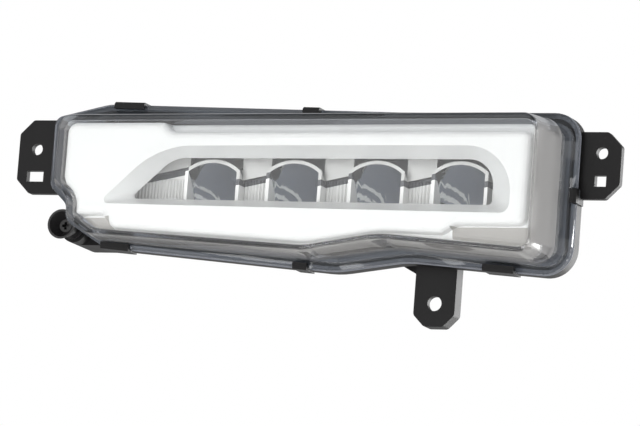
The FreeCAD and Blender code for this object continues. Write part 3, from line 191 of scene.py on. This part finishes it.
def make_mould_grain():
    group, given, result, place = new_group("mould_grain", {"Scale": 900.0, "Pits": 0.5}, "Height")
    cells = group.nodes.new("ShaderNodeTexVoronoi")
    cells.feature = "SMOOTH_F1"
    fine = group.nodes.new("ShaderNodeTexNoise")
    fine.inputs["Detail"].default_value = 3.0
    blend = group.nodes.new("ShaderNodeMix")
    for texture in (cells, fine):
        group.links.new(place, texture.inputs["Vector"])
        group.links.new(given["Scale"], texture.inputs["Scale"])
    group.links.new(given["Pits"], blend.inputs[0])
    group.links.new(fine.outputs[0], blend.inputs[2])
    group.links.new(cells.outputs["Distance"], blend.inputs[3])
    group.links.new(blend.outputs[0], result["Height"])
    return group


def make_drift():
    group, given, result, place = new_group("drift", {"Scale": 12.0, "Amount": 0.1}, "Value")
    clouds = group.nodes.new("ShaderNodeTexNoise")
    clouds.inputs["Detail"].default_value = 4.0
    group.links.new(place, clouds.inputs["Vector"])
    group.links.new(given["Scale"], clouds.inputs["Scale"])
    centred = math_node(group, "SUBTRACT", clouds.outputs[0], 0.5)
    group.links.new(math_node(group, "MULTIPLY_ADD", centred, given["Amount"], 1.0), result["Value"])
    return group


def make_box_mask():
    limits = {f"{axis} {end}": value for axis in "XYZ" for end, value in (("low", -1.0), ("high", 1.0))}
    group, given, result, place = new_group("box_mask", limits, "Mask")
    split = group.nodes.new("ShaderNodeSeparateXYZ")
    group.links.new(place, split.inputs[0])
    mask = 1.0
    for axis in "XYZ":
        for end, test in (("low", "GREATER_THAN"), ("high", "LESS_THAN")):
            side = math_node(group, test, split.outputs[axis], given[f"{axis} {end}"])
            mask = math_node(group, "MULTIPLY", mask, side)
    group.links.new(mask, result["Mask"])
    return group


mould_grain, drift, box_mask = make_mould_grain(), make_drift(), make_box_mask()
print("groups:", mould_grain.name, drift.name, box_mask.name)

# %% [markdown]
# ## A base for every moulded finish
# Black housing, white bezel, rubber seal and bare metal all start from one recipe: a colour and a roughness that
# both drift, and a grain that bumps the normal. What never changes over the surface, such as metalness, is set
# straight on the shader.

# %% The moulded finish recipe
TINT_DRIFT_SCALE, GLOSS_DRIFT_SCALE = 22.0, 40.0
GRAIN_DEPTH = 0.05 * MM


def new_material(name):
    """An empty material, its node tree and its Principled shader."""
    material = bpy.data.materials.new(name)
    material.use_nodes = True
    return material, material.node_tree, material.node_tree.nodes["Principled BSDF"]


def group_node(tree, group, values):
    """A shared group placed in a material with its own input values, and its output."""
    node = tree.nodes.new("ShaderNodeGroup")
    node.node_tree = group
    for label, value in values.items():
        node.inputs[label].default_value = value
    return node.outputs[0]


def mix_colour(tree, factor, first, second, blend_type="MIX"):
    """One Mix node on two colours or outputs, and its own output."""
    node = tree.nodes.new("ShaderNodeMix")
    node.data_type, node.blend_type = "RGBA", blend_type
    for socket, value in ((node.inputs[0], factor), (node.inputs[6], first), (node.inputs[7], second)):
        feed(tree, socket, value)
    return node.outputs[2]


def finish(name, colour, rough, grain=0.0, grain_scale=900.0, wander=0.1, tint_wander=0.06, metal=0.0,
           specular=0.5, patches=()):
    """A Principled material whose colour and roughness drift and whose surface has a moulded grain.

    Each patch is a colour and the limits in millimetres of the box that has it."""
    material, tree, shader = new_material(name)
    shader.inputs["Metallic"].default_value = metal
    shader.inputs["Specular IOR Level"].default_value = specular
    for patch_colour, limits in patches:
        mask = group_node(tree, box_mask, {label: value * MM for label, value in limits.items()})
        colour = mix_colour(tree, mask, colour, patch_colour)
    shift = group_node(tree, drift, {"Scale": TINT_DRIFT_SCALE, "Amount": tint_wander})
    tree.links.new(mix_colour(tree, 1.0, colour, shift, "MULTIPLY"), shader.inputs["Base Color"])
    gloss = group_node(tree, drift, {"Scale": GLOSS_DRIFT_SCALE, "Amount": wander})
    tree.links.new(math_node(tree, "MULTIPLY", gloss, rough), shader.inputs["Roughness"])
    if grain:
        bump = tree.nodes.new("ShaderNodeBump")
        bump.inputs["Strength"].default_value = grain
        bump.inputs["Distance"].default_value = GRAIN_DEPTH
        tree.links.new(group_node(tree, mould_grain, {"Scale": grain_scale}), bump.inputs["Height"])
        tree.links.new(bump.outputs[0], shader.inputs["Normal"])
    return material


print("recipe ready, grain depth", GRAIN_DEPTH)

# %% [markdown]
# ## The palette
# Each slot of the record gets one finish. Two of them have patches: the housing's rim is painted grey where
# the cover's flange lies on it, painted light that shows through the flange, and the low pockets of the bezel
# are painted darker than its front, a painted shade.

# %% Finishes by slot
# Grey-blue painted on the housing rim under the cover's flange: painted light seen through the flange.
FLANGE_PAINTED_LIGHT = ((0.28, 0.295, 0.335), {"Y low": -2.95, "Y high": -2.65})
# The bezel's low pockets are painted darker than its front: painted shade in the recesses.
POCKET_PAINTED_SHADE = [((0.47, 0.455, 0.435), {"X low": -108.0, "X high": -91.5, "Z high": -34.2}),
                ((0.4, 0.385, 0.365), {"X low": 77.5, "X high": 118.0, "Y high": -17.5, "Z high": -38.0})]
# Colour, roughness and whatever differs from the recipe's own values
PALETTE = {
    "black_housing": ((0.011, 0.0105, 0.011), 0.5, dict(grain=0.35, grain_scale=1400, wander=0.25, specular=0.3,
                                                        patches=[FLANGE_PAINTED_LIGHT])),
    "grey_sealant": ((0.36, 0.38, 0.43), 0.5, dict(grain=0.2, grain_scale=300)),
    "white_bezel": ((0.915, 0.92, 0.915), 0.32, dict(grain=0.05, grain_scale=2200, wander=0.15,
                                                     tint_wander=0.015, patches=POCKET_PAINTED_SHADE)),
    "light_chip": ((0.85, 0.7, 0.15), 0.15, {}),
    "grey_pad": ((0.3, 0.31, 0.33), 0.75, dict(grain=0.3, grain_scale=700)),
    "cast_aluminium": ((0.58, 0.59, 0.6), 0.45, dict(grain=0.5, grain_scale=500, metal=1.0)),
    "zinc_steel": ((0.6, 0.6, 0.57), 0.32, dict(grain=0.1, metal=1.0)),
    "black_carrier": ((0.03, 0.03, 0.032), 0.5, dict(grain=0.3)),
    "natural_bush": ((0.72, 0.7, 0.62), 0.45, dict(grain=0.1)),
    "black_adjuster": ((0.02, 0.019, 0.02), 0.33, dict(grain=0.1, grain_scale=1600, wander=0.2)),
    "black_rubber": ((0.02, 0.02, 0.02), 0.7, dict(grain=0.2)),
    "spring_steel": ((0.25, 0.25, 0.27), 0.35, dict(metal=1.0)),
    "brass": ((0.75, 0.55, 0.22), 0.28, dict(metal=1.0)),
    "red_lead": ((0.5, 0.03, 0.02), 0.45, {}),
    "black_lead": ((0.02, 0.02, 0.02), 0.45, {}),
    "green_board": ((0.03, 0.16, 0.06), 0.35, {}),
    "dark_components": ((0.04, 0.04, 0.045), 0.5, dict(grain=0.2)),
    "tinned_brass": ((0.68, 0.67, 0.62), 0.25, dict(metal=1.0)),
    "black_cap": ((0.025, 0.025, 0.026), 0.45, dict(grain=0.3)),
    "white_membrane": ((0.85, 0.85, 0.84), 0.9, dict(grain=0.3, grain_scale=2500)),
}
FINISHES = {slot: finish(slot, colour, rough, **extras) for slot, (colour, rough, extras) in PALETTE.items()}
print("moulded finishes:", len(FINISHES))

# %% [markdown]
# ## Metal film on the reflector
# The reflector is one moulding under a bright film. Its four bowls are polished. The panels between them are
# satin. Their flutes are painted lighter (painted light), and the undersides of their steps are painted dark
# (painted shade). The bowls repeat at an even pitch, so one wrapped X coordinate finds them all, and a second
# one measures along each panel to place a dark strip under its sloping step, a painted reflection of darkness.

# %% Reflector film
CELL_COUNT = 4
CELL_FIRST_X, CELL_PITCH, CELL_HALF = -47.6 * MM, 40.4 * MM, 11.98 * MM
CELL_FRONT_Y = -3.9 * MM
CELL_RISE, BOARD_TOP_Z = 19.5 * MM, -26.0 * MM
PANEL_HALF, END_PANEL_X = 7.1 * MM, -90.5 * MM
STEP_Z, STEP_SLOPE, STRIP_HEIGHT = -14.0 * MM, math.tan(math.radians(12.0)), 2.8 * MM
BOWL_TONE, PANEL_TONE = (0.8, 0.82, 0.85), (0.62, 0.62, 0.61)
# The flute tone is painted light; the underside tone is painted shade, and on the strip a painted reflection.
FLUTE_PAINTED_LIGHT, PAINTED_SHADE_TONE = (0.95, 0.95, 0.94), (0.085, 0.09, 0.1)
BOWL_METAL, PANEL_METAL = 0.95, 0.2
BOWL_ROUGH, PANEL_ROUGH = 0.04, 0.32
FILM_DRIFT = {"Scale": 60.0, "Amount": 0.5}
FACES_DOWN = -0.5


def reflector_film(name):
    material, tree, shader = new_material(name)
    place = tree.nodes.new("ShaderNodeTexCoord")
    split = tree.nodes.new("ShaderNodeSeparateXYZ")
    tree.links.new(place.outputs["Object"], split.inputs[0])
    x, z = split.outputs["X"], split.outputs["Z"]
    facing = tree.nodes.new("ShaderNodeSeparateXYZ")
    tree.links.new(place.outputs["Normal"], facing.inputs[0])

    def calc(operation, *values):
        return math_node(tree, operation, *values)

    def wrap(value):
        return calc("WRAP", value, CELL_PITCH / 2, -CELL_PITCH / 2)

    from_bowl = calc("SUBTRACT", x, CELL_FIRST_X)
    across = calc("ABSOLUTE", wrap(from_bowl))
    height = calc("SUBTRACT", z, BOARD_TOP_Z)
    reach = calc("ADD", calc("MULTIPLY", across, across), calc("MULTIPLY", height, height))
    in_round = calc("LESS_THAN", reach, CELL_RISE * CELL_RISE)
    row = group_node(tree, box_mask, {"X low": CELL_FIRST_X - CELL_PITCH / 2, "Y low": CELL_FRONT_Y,
                                      "X high": CELL_FIRST_X + CELL_PITCH * (CELL_COUNT - 0.5)})
    in_bowl = calc("MULTIPLY", calc("MULTIPLY", calc("LESS_THAN", across, CELL_HALF), in_round), row)

    from_panel = calc("ADD", wrap(calc("SUBTRACT", from_bowl, CELL_PITCH / 2)), PANEL_HALF)
    end_panel = calc("LESS_THAN", x, CELL_FIRST_X - CELL_HALF)
    along = calc("ADD", calc("MULTIPLY", end_panel, calc("SUBTRACT", x, END_PANEL_X)),
                 calc("MULTIPLY", calc("SUBTRACT", 1.0, end_panel), from_panel))
    below_step = calc("SUBTRACT", calc("MULTIPLY_ADD", along, STEP_SLOPE, STEP_Z), z)
    # Below the strip the flutes are painted lighter (painted light); the strip itself is painted dark, a painted
    # reflection of darkness.
    flute_light_mask = calc("GREATER_THAN", below_step, STRIP_HEIGHT)
    strip = calc("MULTIPLY", calc("GREATER_THAN", below_step, 0.0), calc("LESS_THAN", below_step, STRIP_HEIGHT))
    # Down-facing faces and the strip take the dark tone: painted shade and a painted reflection of darkness.
    under = calc("MAXIMUM", calc("LESS_THAN", facing.outputs["Z"], FACES_DOWN), strip)

    panel = mix_colour(tree, under, mix_colour(tree, flute_light_mask, PANEL_TONE, FLUTE_PAINTED_LIGHT), PAINTED_SHADE_TONE)
    tree.links.new(mix_colour(tree, in_bowl, panel, BOWL_TONE), shader.inputs["Base Color"])
    metal = calc("MULTIPLY_ADD", in_bowl, BOWL_METAL - PANEL_METAL, PANEL_METAL)
    tree.links.new(metal, shader.inputs["Metallic"])
    rough = calc("MULTIPLY_ADD", in_bowl, BOWL_ROUGH - PANEL_ROUGH, PANEL_ROUGH)
    tree.links.new(calc("MULTIPLY", rough, group_node(tree, drift, FILM_DRIFT)), shader.inputs["Roughness"])
    return material


FINISHES["bright_reflector"] = reflector_film("bright_reflector")
print("reflector film for", CELL_COUNT, "bowls")

# %% [markdown]
# ## The light board
# A bowl that is polished like this mirrors the light board below it, much enlarged. So the dark and bright
# lines seen in the bowls are painted on the board: a dark window under each bowl, a painted reflection of
# darkness, and two bright tracks across it, painted highlights. The bowl bends the tracks into curved lines by
# itself.

# %% Light board
BOARD_WHITE, BOARD_ROUGH = (0.82, 0.83, 0.82), 0.4
# Painted reflections on the board: the dark window and the bright tracks, which the bowls mirror.
DARK_WINDOW_PAINTED_REFLECTION, BRIGHT_TRACK_PAINTED_REFLECTION = (0.16, 0.18, 0.225), (0.8, 0.8, 0.78)
# Tone, and how far it reaches from the bowl's middle along X in millimetres
BOARD_PAINTED_REFLECTIONS = ((DARK_WINDOW_PAINTED_REFLECTION, -14.0, 12.0), (BRIGHT_TRACK_PAINTED_REFLECTION, -1.5, -0.3), (BRIGHT_TRACK_PAINTED_REFLECTION, -2.9, -2.5))
board_painted_reflections = []
for cell in range(CELL_COUNT):
    middle = (CELL_FIRST_X + cell * CELL_PITCH) / MM
    for tone, low, high in BOARD_PAINTED_REFLECTIONS:
        board_painted_reflections.append((tone, {"X low": middle + low, "X high": middle + high}))
FINISHES["white_board"] = finish("white_board", BOARD_WHITE, BOARD_ROUGH, patches=board_painted_reflections)
print("board patches:", len(board_painted_reflections))

# %% [markdown]
# ## Clear plastic
# The cover is glass to the eye. Plain glass blocks a renderer's direct light, so the bezel behind it would go
# dark. The usual cure is to let the rays that test for shadow pass straight through: a Light Path node swaps in a
# Transparent shader for them. What the camera sees still bends and glints.

# %% Clear lens
LENS_INDEX = 1.1
COAT_ROUGH = 0.02
SHADOW_TINT = (0.94, 0.95, 0.95)


def clear_plastic(name, colour, rough, clearness):
    material, tree, shader = new_material(name)
    for label, value in (("Base Color", (*colour, 1)), ("Roughness", rough), ("IOR", LENS_INDEX),
                         ("Transmission Weight", clearness), ("Coat Weight", 1.0),
                         ("Coat Roughness", COAT_ROUGH)):
        shader.inputs[label].default_value = value
    passing = tree.nodes.new("ShaderNodeBsdfTransparent")
    passing.inputs["Color"].default_value = (*SHADOW_TINT, 1)
    ray = tree.nodes.new("ShaderNodeLightPath")
    choose_ray = tree.nodes.new("ShaderNodeMixShader")
    tree.links.new(ray.outputs["Is Shadow Ray"], choose_ray.inputs[0])
    tree.links.new(shader.outputs[0], choose_ray.inputs[1])
    tree.links.new(passing.outputs[0], choose_ray.inputs[2])
    tree.links.new(choose_ray.outputs[0], tree.nodes["Material Output"].inputs["Surface"])
    return material


FINISHES["clear_lens"] = clear_plastic("clear_lens", (0.985, 0.99, 0.99), 0.0, 1.0)
print("lens index", LENS_INDEX)

# %% [markdown]
# ## Dress the CAD nodes
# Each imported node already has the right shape, and its record names a material slot. We hand every node the
# finish of its slot.

# %% Assign finishes
for part in frame["record"]["subparts"]:
    slots = nodes[part["node"]].data.materials
    slots.clear()
    slots.append(FINISHES[part["material_slot"]])

# %% [markdown]
# ## A cover with hazy walls
# The front of the cover is polished, but its walls come out of the tool with a faint haze, and they catch the
# light as pale bands beside the bezel. The shape from CAD is right, so this is a copy of it: its loose triangles
# are joined, and every face takes one of five finishes by where it is and which way it faces. The front is clear,
# the walls are hazy, the roof is painted paler as painted light, the floor is painted darker as painted shade,
# and the floor and the flange are clearer again.

# %% Cover
FRONT, WALL, ROOF, FLANGE, FLOOR = range(5)
# Colour, roughness and clearness of the faces that are not the polished front
HAZE_AND_PAINTED_LIGHT = {
    "lens_wall": ((0.76, 0.75, 0.745), 0.06, 0.56),
    # The roof is painted paler and less clear: painted light.
    "lens_roof_painted_light": ((0.84, 0.86, 0.9), 0.06, 0.3),
    "lens_flange": ((0.8, 0.82, 0.87), 0.1, 0.78),
    # The floor is painted darker: painted shade.
    "lens_floor_painted_shade": ((0.52, 0.51, 0.505), 0.06, 0.84),
}
FLANGE_FRONT_Y = -5.55 * MM
WALL_FACING, LEVEL_FACING = 0.72, 0.6
JOIN_WITHIN = 1e-7
SHARP_OVER = math.radians(35)

cover_mesh = nodes["lens"].data.copy()
for name, (colour, rough, clearness) in HAZE_AND_PAINTED_LIGHT.items():
    cover_mesh.materials.append(clear_plastic(name, colour, rough, clearness))
shape = bmesh.new()
shape.from_mesh(cover_mesh)
bmesh.ops.remove_doubles(shape, verts=shape.verts, dist=JOIN_WITHIN)
for face in shape.faces:
    face.smooth = True
    centre = face.calc_center_median()
    if centre.y > FLANGE_FRONT_Y:
        face.material_index = FLANGE
    elif abs(face.normal.y) >= WALL_FACING:
        face.material_index = FRONT
    # Level faces: the roof takes the painted light, the floor the painted shade.
    elif abs(face.normal.z) > LEVEL_FACING:
        face.material_index = ROOF if centre.z > 0 else FLOOR
    else:
        face.material_index = WALL
shape.to_mesh(cover_mesh)
shape.free()
cover_mesh.set_sharp_from_angle(angle=SHARP_OVER)
cover = bpy.data.objects.new("cover", cover_mesh)
bpy.context.scene.collection.objects.link(cover)
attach(cover, "lamp_body")
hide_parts("lens")
face_kinds = [polygon.material_index for polygon in cover_mesh.polygons]
print("cover faces:", [face_kinds.count(kind) for kind in (FRONT, WALL, ROOF, FLANGE, FLOOR)])

# %% [markdown]
# ## Tools for grown pieces
# Geometry Nodes suit what repeats or follows a path. Each tree here has named inputs for its sizes and for its
# place, lays what it made along Y, and ends in Realize Instances and Set Material. The result is then stored as a
# plain mesh, because live modifiers and instances don't travel with the model.

# %% Tree helpers
def new_tree(name, inputs):
    """A Geometry Nodes tree with named number inputs {name: default} and a place, and its input's outputs."""
    tree = bpy.data.node_groups.new(name, "GeometryNodeTree")
    for label, value in {**inputs, "X": 0.0, "Y": 0.0, "Z": 0.0}.items():
        kind = "NodeSocketInt" if isinstance(value, int) else "NodeSocketFloat"
        tree.interface.new_socket(label, in_out="INPUT", socket_type=kind).default_value = value
    tree.interface.new_socket("Geometry", in_out="OUTPUT", socket_type="NodeSocketGeometry")
    return tree, tree.nodes.new("NodeGroupInput").outputs


def close_tree(tree, given, geometry, material):
    """Turn what a tree made from Z to Y, move it to its place, and end the tree."""
    turned = tree.nodes.new("GeometryNodeTransform")
    turned.inputs["Rotation"].default_value = (-math.pi / 2, 0, 0)
    moved = tree.nodes.new("GeometryNodeTransform")
    place = tree.nodes.new("ShaderNodeCombineXYZ")
    real = tree.nodes.new("GeometryNodeRealizeInstances")
    dressed = tree.nodes.new("GeometryNodeSetMaterial")
    dressed.inputs["Material"].default_value = material
    for axis in "XYZ":
        tree.links.new(given[axis], place.inputs[axis])
    tree.links.new(geometry, turned.inputs["Geometry"])
    tree.links.new(turned.outputs[0], moved.inputs["Geometry"])
    tree.links.new(place.outputs[0], moved.inputs["Translation"])
    tree.links.new(moved.outputs[0], real.inputs[0])
    tree.links.new(real.outputs[0], dressed.inputs["Geometry"])
    tree.links.new(dressed.outputs[0], tree.nodes.new("NodeGroupOutput").inputs[0])


def grown_piece(name, tree, values, body):
    """Run a tree with its input values and keep what it makes as one plain mesh that rides on a body."""
    base = bpy.data.objects.new(name + "_base", bpy.data.meshes.new(name + "_base"))
    bpy.context.scene.collection.objects.link(base)
    modifier = base.modifiers.new("grow", "NODES")
    modifier.node_group = tree
    for item in tree.interface.items_tree:
        if item.in_out == "INPUT":
            modifier[item.identifier] = values[item.name]
    mesh = bpy.data.meshes.new_from_object(base.evaluated_get(bpy.context.evaluated_depsgraph_get()))
    base.modifiers.remove(modifier)
    bpy.data.objects.remove(base)
    mesh.name = name
    piece = bpy.data.objects.new(name, mesh)
    bpy.context.scene.collection.objects.link(piece)
    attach(piece, body)
    print(name, "faces:", len(mesh.polygons))


print("tree helpers ready")

# %% [markdown]
# ## The adjuster's thread
# CAD keeps the threaded end of the adjuster as a plain rod, because its thread is only a coupling there. A thread
# is a ridge along a spiral, so a small tree draws it: a Spiral curve with a round section swept along it. The
# ridge turns with the adjuster.

# %% Thread
ADJUSTER_X, ADJUSTER_Z = -125.6 * MM, -34.4 * MM
THREAD_FROM, THREAD_TO, THREAD_PITCH = 31.3 * MM, 41.7 * MM, 0.7 * MM
THREAD_RADIUS, THREAD_RIDGE = 1.94 * MM, 0.12 * MM
STEPS_A_TURN, RIDGE_SIDES = 24, 6


def thread_tree(material):
    tree, given = new_tree("thread", {"Turns": 10.0, "Length": 0.01, "Radius": 0.002, "Ridge": 0.0001})
    path = tree.nodes.new("GeometryNodeCurveSpiral")
    path.inputs["Resolution"].default_value = STEPS_A_TURN
    section = tree.nodes.new("GeometryNodeCurvePrimitiveCircle")
    section.inputs["Resolution"].default_value = RIDGE_SIDES
    swept = tree.nodes.new("GeometryNodeCurveToMesh")
    swept.inputs["Fill Caps"].default_value = True
    for label, socket in (("Turns", "Rotations"), ("Radius", "Start Radius"), ("Radius", "End Radius"),
                          ("Length", "Height")):
        tree.links.new(given[label], path.inputs[socket])
    tree.links.new(given["Ridge"], section.inputs["Radius"])
    tree.links.new(path.outputs[0], swept.inputs["Curve"])
    tree.links.new(section.outputs[0], swept.inputs["Profile Curve"])
    close_tree(tree, given, swept.outputs[0], material)
    return tree


grown_piece("adjuster_thread", thread_tree(FINISHES["black_adjuster"]),
            {"Turns": (THREAD_TO - THREAD_FROM) / THREAD_PITCH, "Length": THREAD_TO - THREAD_FROM,
             "Radius": THREAD_RADIUS, "Ridge": THREAD_RIDGE,
             "X": ADJUSTER_X, "Y": THREAD_FROM, "Z": ADJUSTER_Z}, "adjuster")

# %% [markdown]
# ## Ejector marks on the back
# The pins that push a moulding out of its tool leave shallow round marks, in rows over the back of the tub. They
# repeat, so a second tree puts one low disc on each point of a grid.

# %% Ejector marks
TUB_BACK_Y = 53.0 * MM
MARKS_X, MARKS_Z = -2.0 * MM, -12.5 * MM
MARKS_WIDTH, MARKS_HEIGHT = 48.0 * MM, 11.0 * MM
MARK_RADIUS, MARK_PROUD, MARK_SIDES = 3.0 * MM, 0.3 * MM, 24


def marks_tree(material):
    tree, given = new_tree("ejector_marks", {"Columns": 3, "Rows": 1, "Width": 0.05, "Height": 0.01,
                                             "Radius": 0.003, "Proud": 0.0002})
    grid = tree.nodes.new("GeometryNodeMeshGrid")
    disc = tree.nodes.new("GeometryNodeMeshCylinder")
    disc.inputs["Vertices"].default_value = MARK_SIDES
    spread = tree.nodes.new("GeometryNodeInstanceOnPoints")
    for label, node, socket in (("Columns", grid, "Vertices X"), ("Rows", grid, "Vertices Y"),
                                ("Width", grid, "Size X"), ("Height", grid, "Size Y"),
                                ("Radius", disc, "Radius"), ("Proud", disc, "Depth")):
        tree.links.new(given[label], node.inputs[socket])
    tree.links.new(grid.outputs[0], spread.inputs["Points"])
    tree.links.new(disc.outputs[0], spread.inputs["Instance"])
    close_tree(tree, given, spread.outputs[0], material)
    return tree


grown_piece("ejector_marks", marks_tree(FINISHES["black_cap"]),
            {"Columns": 4, "Rows": 2, "Width": MARKS_WIDTH, "Height": MARKS_HEIGHT, "Radius": MARK_RADIUS,
             "Proud": MARK_PROUD, "X": MARKS_X, "Y": TUB_BACK_Y, "Z": MARKS_Z}, "lamp_body")
